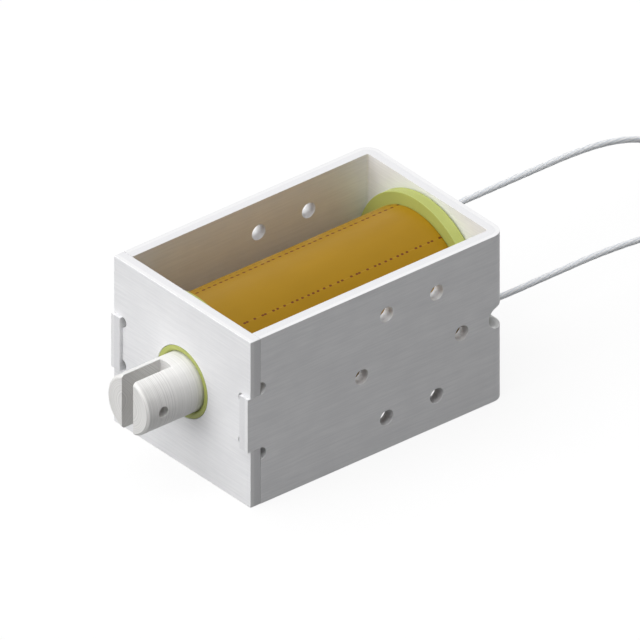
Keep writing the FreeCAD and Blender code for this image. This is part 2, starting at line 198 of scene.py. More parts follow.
# %% [markdown]
# ## Speckle
#
# Nothing real is one even colour, so every finish starts from noise whose blotches have a size in
# millimetres. Stretched along an axis, the blotches become the lines that a tool leaves. Noise
# keeps near its middle, so it is the middle of its span that turns into the lowest and highest
# value of a finish.

# %% Noise of a real size
NOISE_SPAN = {"From Min": 0.3, "From Max": 0.7}


def speckle(tree, size_mm, stretch=(1, 1, 1), detail=2.0):
    """Noise of the place on the piece, with blotches of a size in mm, stretched along axes."""
    place = add(tree, "TexCoord", take="Object")
    place = add(tree, "Mapping", {"Vector": place, "Scale": [1 / s for s in stretch]})
    pattern = {"Vector": place, "Scale": 1 / (size_mm * MM), "Detail": detail}
    return add(tree, "TexNoise", pattern, "Fac")


# %% [markdown]
# ## The leads
#
# Each lead is spliced to the winding under the tape. It passes through a notch in the bobbin and
# a slot in the frame, runs back level while it is stiff, and then comes down to the table, where
# the rest is wound into two turns. The line is one smooth spline. Its points along the free
# stretch are those of the solid model, some of them up to 0.7 mm higher, because the picture shows
# the leads that level. The coil's turns are sixteen more points each.
#
# The second turn can't lie on the first all the way round, because it would have to climb over
# itself, so it opens outwards as a real loose turn does and comes off beside the first.

# %% The points of each lead, in mm
LEFT_ROUTE = [
    (-14.85, 27.2, 19.05),
    (-15.85, 34.5, 19.1),
    (-16.35, 46.5, 19.15),
    (-16.45, 65.5, 19.05),
    (-16.5, 84.5, 19.0),
    (-16.9, 97.0, 15.9),
    (-17.9, 105.5, 9.9),
    (-19.4, 112.4, 3.8),
    (-21.9, 119.9, 0.65),
]
RIGHT_ROUTE = [
    (14.85, 27.17, 19.05),
    (15.55, 34.5, 19.05),
    (15.7, 46.5, 19.25),
    (15.75, 63.5, 19.3),
    (16.1, 80.5, 17.5),
    (17.0, 92.0, 13.6),
    (18.3, 100.0, 7.9),
    (20.3, 106.8, 2.8),
    (23.2, 114.2, 0.65),
]
LEAD_DIAMETER = 1.3
COIL_RADIUS = 7.15
POINTS_PER_TURN = 16
# a spline of this kind cuts inside its control points, so they stand a little further out
OUTSET = 1 / math.cos(math.pi / POINTS_PER_TURN) ** 0.75
# from the route's last point to the place where the circle begins
RUN_IN = 5.25
# where, in turns, the lead climbs by its diameter and opens by it, and how long each takes
CLIMB_AT, CLIMB_OVER = 0.8, 0.17
OPEN_AT, OPEN_OVER = 1.35, 0.55
# the lead's end, from the same place: ahead, outwards and up
TAIL = [(2.4, 0.95, 1.85), (5.2, 0.0, 1.65)]


def coil_points(route, anticlockwise):
    """Two turns after the route: the angle grows evenly, the height steps up as the first turn
    closes, and the radius grows by a diameter while the second turn closes."""
    last = np.array(route[-1])
    heading = (last - np.array(route[-2]))[:2]
    heading /= np.linalg.norm(heading)
    sense = 1 if anticlockwise else -1
    inwards = np.array([-heading[1], heading[0]]) * sense
    touch = last[:2] + heading * RUN_IN
    centre = touch + inwards * COIL_RADIUS
    turned = np.arange(2 * POINTS_PER_TURN + 1) / POINTS_PER_TURN
    angle = math.atan2(-inwards[1], -inwards[0]) + sense * turned * 2 * math.pi
    opened = np.clip((turned - OPEN_AT) / OPEN_OVER, 0, 1)
    radius = COIL_RADIUS * OUTSET + LEAD_DIAMETER * opened * opened * (3 - 2 * opened)
    height = LEAD_DIAMETER * (0.5 + np.clip((turned - CLIMB_AT) / CLIMB_OVER, 0, 1))
    ring = np.stack([centre[0] + radius * np.cos(angle), centre[1] + radius * np.sin(angle), height], 1)
    tail = [(*(touch + heading * ahead - inwards * out), up) for ahead, out, up in TAIL]
    return np.concatenate([ring, tail])


print("points in the coil of a lead:", len(coil_points(LEFT_ROUTE, anticlockwise=False)))


# %% The smooth line through them
def lead_line(name, route, anticlockwise):
    """A smooth NURBS curve through the air and round the coil, in metres."""
    points = np.concatenate([np.array(route), coil_points(route, anticlockwise)]) * MM
    curve = bpy.data.curves.new(name, "CURVE")
    curve.dimensions = "3D"
    spline = curve.splines.new("NURBS")
    spline.points.add(len(points) - 1)
    weighted = np.concatenate([points, np.ones((len(points), 1))], axis=1)
    spline.points.foreach_set("co", weighted.ravel())
    spline.order_u = 3
    spline.use_endpoint_u = True
    curve.resolution_u = 10
    holder = bpy.data.objects.new(name, curve)
    line_mesh = bpy.data.meshes.new_from_object(holder)
    line = np.zeros(len(line_mesh.vertices) * 3)
    line_mesh.vertices.foreach_get("co", line)
    line = line.reshape(-1, 3)
    bpy.data.objects.remove(holder)
    bpy.data.curves.remove(curve)
    bpy.data.meshes.remove(line_mesh)
    long = np.linalg.norm(np.diff(line, axis=0), axis=1).sum()
    print(name, "is", round(long / MM, 1), "mm long")
    return line


def evenly_spaced(line, step):
    """The line again, with its points an equal distance apart."""
    run = np.linalg.norm(np.diff(line, axis=0), axis=1)
    along = np.concatenate([[0.0], np.cumsum(run)])
    wanted = np.linspace(0, along[-1], int(along[-1] / step) + 1)
    return np.stack([np.interp(wanted, along, line[:, i]) for i in range(3)], axis=1), wanted


# %% [markdown]
# ## Stranded wire in a thin coat
#
# Each lead is seven fine wires, twisted together and coated with insulation. The coat is thin, so
# the six outer wires show through as shallow ridges that wind round the lead once in 19 mm. Its
# surface is a tube whose radius dips between the ridges: the radius times one minus a small part
# of a raised cosine of six times the angle, and that angle turns steadily along the lead. The dip
# is stored as a number at each point, for the material to paint shade into the grooves.

# %% Tubes about a line
def axes_across(line):
    """Two directions across the line at each point: level and sideways, and the one square to it."""
    ahead = np.gradient(line, axis=0)
    ahead /= np.linalg.norm(ahead, axis=1, keepdims=True)
    level = np.cross(ahead, [0.0, 0.0, 1.0])
    level /= np.linalg.norm(level, axis=1, keepdims=True)
    return level, np.cross(level, ahead)


def tube_about(line, radius, sides):
    """Rings about the points of a line: the radius times the cosine of an angle along the level
    direction, and times its sine along the upright one."""
    level, upright = axes_across(line)
    angle = np.linspace(0, 2 * math.pi, sides, endpoint=False)[None, :, None]
    return line[:, None] + radius * (np.cos(angle) * level[:, None] + np.sin(angle) * upright[:, None])


def strand(line, along, offset, radius, pitch, phase, sides=10):
    """A tube of a radius round a helix of an offset and pitch about the line."""
    level, upright = axes_across(line)
    turn = 2 * math.pi * along / pitch + phase
    middle = line + offset * (np.cos(turn)[:, None] * level + np.sin(turn)[:, None] * upright)
    return tube_about(middle, radius, sides)


def coated_wire(line, along, radius, pitch, ridges=6, depth=0.05, sides=36):
    """A tube about a line with shallow ridges that wind round it, and how deep each point lies."""
    round_it = np.linspace(0, 2 * math.pi, sides, endpoint=False)[None, :]
    turn = (2 * math.pi * along / pitch)[:, None]
    dip = 0.5 - 0.5 * np.cos(ridges * (round_it - turn))
    return tube_about(line, (radius * (1 - depth * dip))[:, :, None], sides), dip


# %% [markdown]
# ## The leads' finish: light grey-blue PVC, extruded
#
# PVC insulation is extruded and comes out smooth with a soft gloss. The material paints shade
# between the ridges, so they are greyer there, and the colour drifts a little along the lead. A
# little light passes through the coat, which softens the shade on its underside.

# %% PVC insulation
insulation, tree, shader = new_material("pvc_insulation_extruded", Roughness=0.42, IOR=1.53,
                                        Subsurface_Weight=0.7, Subsurface_Scale=3.0 * MM,
                                        Subsurface_Radius=(1.0, 1.0, 1.0))
# painted shade: the coat is mixed towards grey-blue where it dips between the ridges
dip = add(tree, "Attribute", take="Fac", attribute_name="painted_groove_shade")
shade = add(tree, "Math", {0: dip, 1: 1.6}, operation="POWER")
crown = add(tree, "Mix", {FACTOR: speckle(tree, 2.5), FIRST: "#F2F4F8", SECOND: "#FAFBFC"}, **COLOURS)
coat = add(tree, "Mix", {FACTOR: shade, FIRST: crown, SECOND: "#CED7E3"}, **COLOURS)
skin = add(tree, "Bump", {"Height": speckle(tree, 0.25), "Distance": 0.01 * MM})
feed(tree, shader, Base_Color=coat, Normal=skin)

# %% [markdown]
# ## The bare ends: tinned copper strands
#
# The last few millimetres are stripped, twisted and dipped in tin, which leaves seven bright
# strands of a slightly warm silver with a rough skin of tin.

# %% Tinned copper
tinned, tree, shader = new_material("tinned_copper_dipped", Metallic=1.0)
tin = add(tree, "Mix", {FACTOR: speckle(tree, 0.5), FIRST: "#C9C6C0", SECOND: "#E2E0DB"}, **COLOURS)
rough = add(tree, "MapRange", {"Value": speckle(tree, 0.2), **NOISE_SPAN, "To Min": 0.28, "To Max": 0.5})
skin = add(tree, "Bump", {"Height": speckle(tree, 0.15), "Distance": 0.01 * MM})
feed(tree, shader, Base_Color=tin, Roughness=rough, Normal=skin)

# %% Lay both leads
LEAD_RADIUS = LEAD_DIAMETER / 2 * MM
LEAD_STEP = 0.3 * MM
STRAND_LAY = 19.0 * MM
# from the middle of the frame to its front face, and to its back
FRAME_HALF_LENGTH = 32.5 * MM
BARE_WIRE_RADIUS = 0.13 * MM
BARE_LAY = 6.0 * MM
# the bare wires reach from just inside the coat to their tips, in mm
BARE_FROM, BARE_TO = -0.6, 6.0
# they droop by a slope, and by a bend for each mm of the way
DROOP_SLOPE, DROOP_BEND = 0.15, 0.009


def bare_end(side, line):
    """Seven wires that carry on from the end of the coat and droop to the table: they sink by the
    slope times the way they have gone, and by the bend times that way squared."""
    way = line[-1] - line[-6]
    way[2] = 0.0
    way /= np.linalg.norm(way)
    reach = np.linspace(BARE_FROM, BARE_TO, 34)[:, None] * MM
    droop = np.minimum(0, -DROOP_SLOPE * reach - DROOP_BEND * reach ** 2 / MM)
    middle = line[-1] + reach * way + droop * np.array([0.0, 0.0, 1.0])
    wires = [strand(middle, reach[:, 0], 0.0, BARE_WIRE_RADIUS, BARE_LAY, 0.0)]
    wires += [strand(middle, reach[:, 0], 2 * BARE_WIRE_RADIUS, BARE_WIRE_RADIUS, BARE_LAY, k * math.pi / 3)
              for k in range(6)]
    mesh = mesh_from_tubes("bare_end_" + side + "_strands", wires)
    return piece_from_mesh("bare_end_" + side + "_strands", mesh, tinned,
                           replaced=["bare_end_" + side])


def lay_lead(side, route, anticlockwise):
    """A lead and its bare end."""
    line = lead_line("lead_line_" + side, route, anticlockwise)
    line, along = evenly_spaced(line, LEAD_STEP)
    tube, dip = coated_wire(line, along, LEAD_RADIUS, STRAND_LAY)
    mesh = mesh_from_tubes("lead_" + side + "_coated_wire", [tube])
    # the dip is kept on the mesh for the painted shade between the ridges
    store(mesh, "painted_groove_shade", dip)
    end = bare_end(side, line)
    lead = piece_from_mesh("lead_" + side + "_coated_wire", mesh, insulation,
                           replaced=["lead_" + side, "lead_coil_" + side])


lay_lead("left", LEFT_ROUTE, anticlockwise=False)
lay_lead("right", RIGHT_ROUTE, anticlockwise=True)

# %% [markdown]
# ## Easing the edges of a solid
#
# A real edge is never perfectly sharp: shearing rolls one side over, tumbling takes off the burr,
# and plating rounds what is left. A thin line of light along each edge comes from that. The solid
# model's triangles are copied, merged at their corners and joined into flat faces, and a Bevel
# modifier rounds the edges of that copy.

# %% A copy with eased edges
EASED_FROM = math.radians(30)
FLAT_WITHIN = math.radians(0.6)
SAME_POINT = 0.002 * MM


def eased_copy(name, node, width_mm, material, body="frame"):
    """The node's own shape, with edges sharper than 30 degrees rounded over by a width."""
    shape = bmesh.new()
    shape.from_mesh(nodes[node].data)
    bmesh.ops.remove_doubles(shape, verts=shape.verts, dist=SAME_POINT)
    bmesh.ops.dissolve_limit(shape, angle_limit=FLAT_WITHIN, verts=shape.verts, edges=shape.edges)
    mesh = bpy.data.meshes.new(name)
    shape.to_mesh(mesh)
    shape.free()
    mesh.shade_smooth()
    mesh.set_sharp_from_angle(angle=EASED_FROM)
    piece = piece_from_mesh(name, mesh, material, body, [node])
    bevel = piece.modifiers.new("eased_edges", "BEVEL")
    bevel.width = width_mm * MM
    bevel.segments = 2
    bevel.limit_method = "ANGLE"
    bevel.angle_limit = EASED_FROM
    bevel.harden_normals = True
    return piece


# %% [markdown]
# ## The frame's finish: zinc-plated mild steel, rolled then plated
#
# The strip is rolled, punched and folded, and then zinc plated. Rolling leaves fine lines along
# the strip, and zinc lays a pale, slightly cloudy film over them, so the metal looks light grey
# and soft rather than like a mirror. The real lines are hundredths of a millimetre apart. They
# are drawn about a third of a millimetre apart, so that they show. The strip's length is level on
# both sides and on the back, so lines that are level everywhere follow it round the bends.

# %% Zinc plate over rolled strip
zinc, tree, shader = new_material("zinc_plate_over_rolled_steel", Metallic=0.12)
lines = speckle(tree, 0.35, stretch=(22, 22, 1), detail=1.0)
faint = add(tree, "MapRange", {"Value": lines, **NOISE_SPAN, "To Max": 0.3})
cloudy = add(tree, "Mix", {FACTOR: speckle(tree, 5.0), FIRST: "#E6E6E8", SECOND: "#F2F2F3"}, **COLOURS)
plate = add(tree, "Mix", {FACTOR: faint, FIRST: cloudy, SECOND: "#D6D7DA"}, **COLOURS)
rough = add(tree, "MapRange", {"Value": lines, **NOISE_SPAN, "To Min": 0.48, "To Max": 0.62})
skin = add(tree, "Bump", {"Height": lines, "Distance": 0.008 * MM})
feed(tree, shader, Base_Color=plate, Roughness=rough, Normal=skin)

# %% [markdown]
# ## Where the punch went through: sheared edges
#
# A sheared edge has two bands. The punch first cuts cleanly and leaves a bright smooth band about
# a third of the thickness deep, and then the metal breaks and leaves a paler, grainy one. How
# deep a point lies in the sheet decides its band. For the folded strip that depth is measured
# from a rounded box: the bend's outer radius less the distance to the line that the bend turns
# about.

# %% How deep a point lies in the sheet, in mm
BEND_X, BEND_Y = 17.9, 29.4
BEND_OUTER, BEND_INNER = 3.1, 0.5


def depth_in_channel(tree, place):
    """The outer radius less the distance to the bends' own line, straight out on the flat parts:
    the root of the two squared distances past that line."""
    aside = add(tree, "Math", {0: place["X"]}, operation="ABSOLUTE")
    squares = []
    for axis, bend in ((aside, BEND_X), (place["Y"], BEND_Y)):
        past = add(tree, "Math", {0: axis, 1: bend * MM}, operation="SUBTRACT")
        past = add(tree, "Math", {0: past, 1: 0.0}, operation="MAXIMUM")
        squares.append(add(tree, "Math", {0: past, 1: 2.0}, operation="POWER"))
    far = add(tree, "Math", {0: squares[0], 1: squares[1]}, operation="ADD")
    far = add(tree, "Math", {0: far}, operation="SQRT")
    return add(tree, "Math", {0: BEND_OUTER * MM, 1: far}, operation="SUBTRACT")


def depth_in_plate(tree, place):
    """The distance behind the front plate's outer face."""
    return add(tree, "Math", {0: place["Y"], 1: FRAME_HALF_LENGTH}, operation="ADD")


# %% Sheared edge of the sheet
BREAK_STARTS, BREAK_ENDS = 0.75, 1.05


def sheared_edge(name, depth_of):
    """Bright near the struck face and grainy past a third of the sheet."""
    material, tree, shader = new_material(name, Metallic=0.06)
    place = add(tree, "TexCoord", take="Object")
    depth = depth_of(tree, add(tree, "SeparateXYZ", {"Vector": place}).node.outputs)
    band = {"Value": depth, "From Min": BREAK_STARTS * MM, "From Max": BREAK_ENDS * MM}
    broken = add(tree, "MapRange", band)
    grain = speckle(tree, 0.3)
    faint = add(tree, "MapRange", {"Value": grain, **NOISE_SPAN, "To Max": 0.25})
    bands = add(tree, "Mix", {FACTOR: broken, FIRST: "#EDEDEE", SECOND: "#E3E3E5"}, **COLOURS)
    edge = add(tree, "Mix", {FACTOR: faint, FIRST: bands, SECOND: "#D3D3D5"}, **COLOURS)
    rough = add(tree, "MapRange", {"Value": broken, "To Min": 0.34, "To Max": 0.6})
    torn = add(tree, "Math", {0: grain, 1: broken}, operation="MULTIPLY")
    skin = add(tree, "Bump", {"Height": torn, "Distance": 0.03 * MM})
    feed(tree, shader, Base_Color=edge, Roughness=rough, Normal=skin)
    return material


channel_edge = sheared_edge("zinc_plated_sheared_edge_of_the_channel", depth_in_channel)
plate_edge = sheared_edge("zinc_plated_sheared_edge_of_the_plate", depth_in_plate)

# %% [markdown]
# ## The folded channel and the front plate
#
# Both keep the shape of their solids. Each face is sorted by where it lies: on one of the sheet's
# two skins it is rolled steel, and anywhere else it was cut, so it gets the sheared finish.

# %% Sort the faces of sheet metal
# a face is on a skin if it is this near to it, in mm, this square to it, and faces straight out
SKIN_WITHIN = 0.04
SQUARE_WITHIN = 0.01
STRAIGHT_OUT = 0.97


def mark_cut_faces(piece, on_skin, edge_material):
    """Give the sheared finish to every face whose middle and normal don't lie on a skin."""
    mesh = piece.data
    count = len(mesh.polygons)
    middle = np.zeros(count * 3)
    normal = np.zeros(count * 3)
    mesh.polygons.foreach_get("center", middle)
    mesh.polygons.foreach_get("normal", normal)
    skin = on_skin(middle.reshape(-1, 3) / MM, normal.reshape(-1, 3))
    mesh.materials.append(edge_material)
    mesh.polygons.foreach_set("material_index", np.where(skin, 0, 1).astype(np.int32))
    print(piece.name, "has", int((~skin).sum()), "cut faces of", count)


def channel_skin(middle, normal):
    """Skins stand upright, lie at the bends' outer or inner radius, and face away from the bends'
    line or towards it, so that the cosine between the two directions is near 1 or -1."""
    past = np.maximum(np.stack([np.abs(middle[:, 0]) - BEND_X, middle[:, 1] - BEND_Y], 1), 0)
    far = np.linalg.norm(past, axis=1)
    upright = np.abs(normal[:, 2]) < SQUARE_WITHIN
    on_one = (np.abs(far - BEND_OUTER) < SKIN_WITHIN) | (np.abs(far - BEND_INNER) < SKIN_WITHIN)
    outwards = np.stack([np.sign(middle[:, 0]) * normal[:, 0], normal[:, 1]], 1)
    lined_up = np.abs((past * outwards).sum(axis=1)) > STRAIGHT_OUT * np.maximum(far, 1e-6)
    return upright & on_one & lined_up


def plate_skin(middle, normal):
    """The plate's skins face straight to the front or back."""
    return np.abs(normal[:, 1]) > 1 - SQUARE_WITHIN


channel = eased_copy("frame_channel_folded", "frame_channel", 0.16, zinc)
mark_cut_faces(channel, channel_skin, channel_edge)
plate_piece = eased_copy("front_plate_punched", "front_plate", 0.14, zinc)
mark_cut_faces(plate_piece, plate_skin, plate_edge)

# %% [markdown]
# ## The bobbin: nylon, injection moulded
#
# The mould's spark-eroded steel leaves a fine matt grain, and the yellow-green nylon is slightly
# cloudy. Its edges were the mould's corners, with a small radius.

# %% Moulded nylon
nylon, tree, shader = new_material("yellow_green_nylon_moulded", IOR=1.53)
grain = speckle(tree, 0.3)
shade = add(tree, "Mix", {FACTOR: speckle(tree, 6.0), FIRST: "#A5AD5A", SECOND: "#B0B764"}, **COLOURS)
rough = add(tree, "MapRange", {"Value": grain, **NOISE_SPAN, "To Min": 0.4, "To Max": 0.55})
skin = add(tree, "Bump", {"Height": grain, "Distance": 0.02 * MM})
feed(tree, shader, Base_Color=shade, Roughness=rough, Normal=skin)
eased_copy("bobbin_moulded", "bobbin", 0.12, nylon)

# %% [markdown]
# ## The coil's tape: polyimide film, wound on
#
# The winding is held by amber tape as wide as the coil. Each lap stands above the one under it by
# the tape's thickness, so the cut ends show as straight steps along the coil. The surface is a
# circle whose radius steps down at each cut end. Its columns are closer together at the steps, so
# that they stay crisp.

# %% The taped coil, in mm
TAPE_ENDS = np.array([60.0, 109.5, 117.0, 238.0, 305.0])
LAP_STEPS = [-0.07, 0.05, -0.06, 0.08, 0.0]
# these two are in degrees, as the cut ends are
STEP_SOFTNESS = 0.12
COLUMNS_AT_END = [0.0, 0.12, 0.3, 0.55, 0.9, 1.4, 1.8, 2.2]
AXIS_HEIGHT = 19.05
WRAP_RADIUS = 15.8
WINDING_RADIUS = 13.9
COIL_FRONT, COIL_REAR = -28.7, 27.1
COIL_EDGE = 0.3
# the even columns along the outside start this far from the coil's ends
OUTSIDE_FROM = 1.5
# the tape lies a little inside the solid's radius and waves a little
TAPE_SUNK = 0.03
WAVE_HEIGHT = 0.025


def tape_angles():
    """Evenly spread angles in degrees, with extra ones close to each cut end on both sides."""
    close = np.concatenate([COLUMNS_AT_END, np.negative(COLUMNS_AT_END)])
    extra = (TAPE_ENDS[:, None] + close).ravel()
    return np.unique(np.concatenate([np.arange(0, 360, 3.0), extra]).round(3))


def lap_height(angle):
    """How far the tape stands proud: up at one cut end and down at the next, with soft edges."""
    height = np.zeros_like(angle)
    for end, step in zip(TAPE_ENDS, LAP_STEPS):
        height = height + step * (1 / (1 + np.exp(-(angle - end) / STEP_SOFTNESS)))
    return height


def coil_outline():
    """The wrap's closed section as (y, radius): inner face, a rounded corner, the outside, and the
    same at the rear."""
    corner = np.linspace(0, math.pi / 2, 5)
    inset = COIL_EDGE * (1 - np.sin(corner))
    drop = COIL_EDGE * (1 - np.cos(corner))
    front = np.stack([COIL_FRONT + inset, WRAP_RADIUS - drop], 1)[::-1]
    along = np.linspace(COIL_FRONT + OUTSIDE_FROM, COIL_REAR - OUTSIDE_FROM, 40)
    outside = np.stack([along, np.full(len(along), WRAP_RADIUS)], 1)
    rear = np.stack([COIL_REAR - inset, WRAP_RADIUS - drop], 1)
    inside = [[(y, WINDING_RADIUS)] for y in (COIL_FRONT, COIL_REAR)]
    return np.concatenate([inside[0], front, outside, rear, inside[1]])


def taped_coil(angle):
    """Grid of angles by the outline, whose outer radius is eased by the laps of tape and by waves,
    a product of two sines of the angle and the place along."""
    y, radius = coil_outline().T[:, None, :]
    turn = np.radians(angle)[:, None]
    outer = (radius - WINDING_RADIUS) / (WRAP_RADIUS - WINDING_RADIUS)
    waves = WAVE_HEIGHT * np.sin(turn * 3 + y * 0.31) * np.sin(turn * 5 - y * 0.17)
    radius = radius + outer * (lap_height(angle)[:, None] - TAPE_SUNK + waves)
    return np.stack([radius * np.cos(turn), y + 0 * turn, AXIS_HEIGHT + radius * np.sin(turn)], axis=-1)


angle = tape_angles()
tape_grid = taped_coil(angle) * MM
tape_mesh = mesh_from_tubes("coil_tape_wound", [tape_grid], ends_joined=True)
print("the tape has", len(angle), "columns round it")

# %% [markdown]
# ## Adhesive along the cut ends
#
# Beside each cut end of the tape, dark red-brown adhesive is squeezed out in a broken line of
# small beads. Three numbers at each point of the tape say where: half a bead's length, which
# falls to nothing at the sides of the line, how far the line's beads are shifted, and how uneven
# their distances are. The two lines on the left are almost even, so that they look like a seam.

# %% Where the adhesive is
BEAD_SPACING = 1.5
# for each cut end: half the line's width in degrees, a bead's length in mm, and its unevenness
GLUE_WIDTHS = np.array([0.8, 1.1, 1.1, 0.8, 0.8])
BEAD_LENGTHS = np.array([0.7, 0.85, 0.85, 0.7, 0.7])
BEAD_SCATTER = np.array([0.75, 0.25, 0.25, 0.75, 0.75])
# each line of beads starts at its own place, so that no two lines match
BEAD_SHIFT = 7.37

reach = np.abs(angle[:, None] - TAPE_ENDS) / GLUE_WIDTHS
nearest_end = reach.argmin(axis=1)
half_beads = (np.clip(3 - 3 * reach, 0, 1) * (BEAD_LENGTHS / 2 / BEAD_SPACING)).max(axis=1)
for name, value in (
    ("half_bead", half_beads),
    ("bead_shift", BEAD_SHIFT * nearest_end),
    ("bead_scatter", BEAD_SCATTER[nearest_end]),
):
    store(tape_mesh, name, np.repeat(value[:, None], tape_grid.shape[1], axis=1))
print("columns with adhesive:", int((half_beads > 0).sum()))

# %% [markdown]
# ## The tape's finish: polyimide film
#
# The film is smooth and amber. That gives the eye a soft gloss, a faint drift of colour and a
# slight ripple along the winding. The beads are cells along the coil, and adhesive shows where a
# cell's centre is less than half a bead away.

# %% Polyimide film tape
tape, tree, shader = new_material("polyimide_film_tape", Roughness=0.42, IOR=1.5, Specular_IOR_Level=0.2)
drift = speckle(tree, 4.0, stretch=(1, 3, 1))
film = add(tree, "Mix", {FACTOR: drift, FIRST: "#98730C", SECOND: "#A37C12"}, **COLOURS)
along = add(tree, "SeparateXYZ", {"Vector": add(tree, "TexCoord", take="Object")}, "Y")
cells = add(tree, "Math", {0: along, 1: 1 / (BEAD_SPACING * MM)}, operation="MULTIPLY")
shift = add(tree, "Attribute", take="Fac", attribute_name="bead_shift")
cells = add(tree, "Math", {0: cells, 1: shift}, operation="ADD")
scatter = add(tree, "Attribute", take="Fac", attribute_name="bead_scatter")
beads = {"W": cells, "Scale": 1.0, "Randomness": scatter}
from_bead = add(tree, "TexVoronoi", beads, "Distance", voronoi_dimensions="1D")
half_bead = add(tree, "Attribute", take="Fac", attribute_name="half_bead")
inside_bead = add(tree, "Math", {0: half_bead, 1: from_bead}, operation="SUBTRACT")
glue = add(tree, "MapRange", {"Value": inside_bead, "From Max": 0.05, "To Max": 0.95})
film = add(tree, "Mix", {FACTOR: glue, FIRST: film, SECOND: "#5E2206"}, **COLOURS)
ripple = speckle(tree, 1.2, stretch=(1, 2, 1))
skin = add(tree, "Bump", {"Height": ripple, "Distance": 0.02 * MM})
feed(tree, shader, Base_Color=film, Normal=skin)
piece_from_mesh("coil_tape_wound", tape_mesh, tape, replaced=["coil_wrap"])

# %% [markdown]
# ## The plunger: turned steel, nickel plated
#
# A lathe leaves rings round the rod and circles on its end. The rings here follow Y, and the
# circles follow the distance from the axis, so both run the way that the tool went. Nickel is a
# touch warmer than zinc and shines more. The pin is ground, which leaves a finer and brighter
# skin, the fixed core is turned like the plunger, and the washer is rolled brass.

# %% Turned and plated metals
def turned_metal(name, dark, light, roughness, pitch_mm, metallic, depth_mm=0.008):
    """Fine lathe rings: noise of the place along Y plus the distance from the axis, which is the
    root of the squares of the two places across."""
    material, tree, shader = new_material(name, Metallic=metallic)
    place = add(tree, "TexCoord", take="Object")
    place = add(tree, "Mapping", {"Vector": place, "Location": (0, 0, -AXIS_HEIGHT * MM)})
    place = add(tree, "SeparateXYZ", {"Vector": place}).node.outputs
    squares = [add(tree, "Math", {0: place[axis], 1: 2.0}, operation="POWER") for axis in ("X", "Z")]
    from_axis = add(tree, "Math", {0: squares[0], 1: squares[1]}, operation="ADD")
    from_axis = add(tree, "Math", {0: from_axis}, operation="SQRT")
    travel = add(tree, "Math", {0: place["Y"], 1: from_axis}, operation="ADD")
    travel = add(tree, "Math", {0: travel, 1: 1 / (pitch_mm * MM)}, operation="MULTIPLY")
    rings = {"W": travel, "Scale": 1.0, "Detail": 1.0}
    rings = add(tree, "TexNoise", rings, "Fac", noise_dimensions="1D")
    clear = add(tree, "MapRange", {"Value": rings, **NOISE_SPAN})
    colour = add(tree, "Mix", {FACTOR: clear, FIRST: dark, SECOND: light}, **COLOURS)
    low, high = roughness
    rough = add(tree, "MapRange", {"Value": rings, **NOISE_SPAN, "To Min": low, "To Max": high})
    skin = add(tree, "Bump", {"Height": rings, "Distance": depth_mm * MM})
    feed(tree, shader, Base_Color=colour, Roughness=rough, Normal=skin)
    return material


nickel = turned_metal("nickel_plate_over_turned_steel", "#D6D5D3", "#E8E7E5", (0.38, 0.52), 0.3, 0.07, 0.005)
stainless = turned_metal("stainless_steel_ground", "#C9C9C8", "#DCDCDB", (0.22, 0.32), 0.15, 1.0)
turned_iron = turned_metal("soft_iron_turned_and_plated", "#C6C5C4", "#DAD9D8", (0.35, 0.5), 0.3, 0.8)
brass = turned_metal("brass_shim_rolled", "#C9A14A", "#DDB863", (0.3, 0.42), 0.4, 1.0)
eased_copy("plunger_turned", "plunger", 0.12, nickel, body="plunger")
eased_copy("push_pin_ground", "push_pin", 0.06, stainless, body="plunger")
eased_copy("pole_piece_staked", "pole_piece", 0.08, turned_iron)

# %% [markdown]
# ## The pieces inside
#
# They are hidden while the solenoid is whole, but they show when it is taken apart, so each has
# its own finish. The solids are right as they are, so only their material changes. The first is
# the winding: clear enamel over copper wire with a warm gloss, and reddish lines, one for each
# turn of half a millimetre, that are painted shade between the turns and a painted highlight
# along their crowns.

# %% Enamelled copper wire, wound
WIRE_PITCH = 0.5 * MM
# the bands of a Wave texture are a full turn, divided by 20 times its scale, apart
WAVE_SCALE = 2 * math.pi / (20 * WIRE_PITCH)
copper, tree, shader = new_material("enamelled_copper_wire_wound", Metallic=0.75, Roughness=0.3)
bands = {"Vector": add(tree, "TexCoord", take="Object"), "Scale": WAVE_SCALE}
# painted shade and highlight: the bands are dark between the turns and light along their crowns
wires = add(tree, "TexWave", bands, "Fac", wave_type="BANDS", bands_direction="Y")
colour = add(tree, "Mix", {FACTOR: wires, FIRST: "#7A3B1C", SECOND: "#C0703C"}, **COLOURS)
skin = add(tree, "Bump", {"Height": wires, "Distance": 0.1 * MM})
feed(tree, shader, Base_Color=colour, Normal=skin)

# %% [markdown]
# ## The splices and the tape under the winding
#
# Each splice sits in a sleeve of braided glass fibre: a fine cream braid, dulled by its varnish.
# The solder in it froze bright, with a slightly wrinkled skin. The tape between the bobbin and the
# winding is polyester: smooth, thin and pale yellow, with a low gloss.

# %% Glass-fibre sleeve, varnished
BRAID_SIZE = 0.4 * MM
sleeve, tree, shader = new_material("glass_fibre_sleeve_varnished", Roughness=0.5)
braid = {"Vector": add(tree, "TexCoord", take="Object"), "Scale": 1 / BRAID_SIZE}
braid = add(tree, "TexVoronoi", braid, "Distance")
colour = add(tree, "Mix", {FACTOR: braid, FIRST: "#EBE4CC", SECOND: "#C9BD98"}, **COLOURS)
skin = add(tree, "Bump", {"Height": braid, "Distance": 0.05 * MM})
feed(tree, shader, Base_Color=colour, Normal=skin)

# %% Tin solder, frozen
solder, tree, shader = new_material("tin_solder_frozen", Metallic=1.0, Roughness=0.35)
colour = add(tree, "Mix", {FACTOR: speckle(tree, 0.8), FIRST: "#BFC0C2", SECOND: "#DADBDC"}, **COLOURS)
skin = add(tree, "Bump", {"Height": speckle(tree, 0.6), "Distance": 0.05 * MM})
feed(tree, shader, Base_Color=colour, Normal=skin)

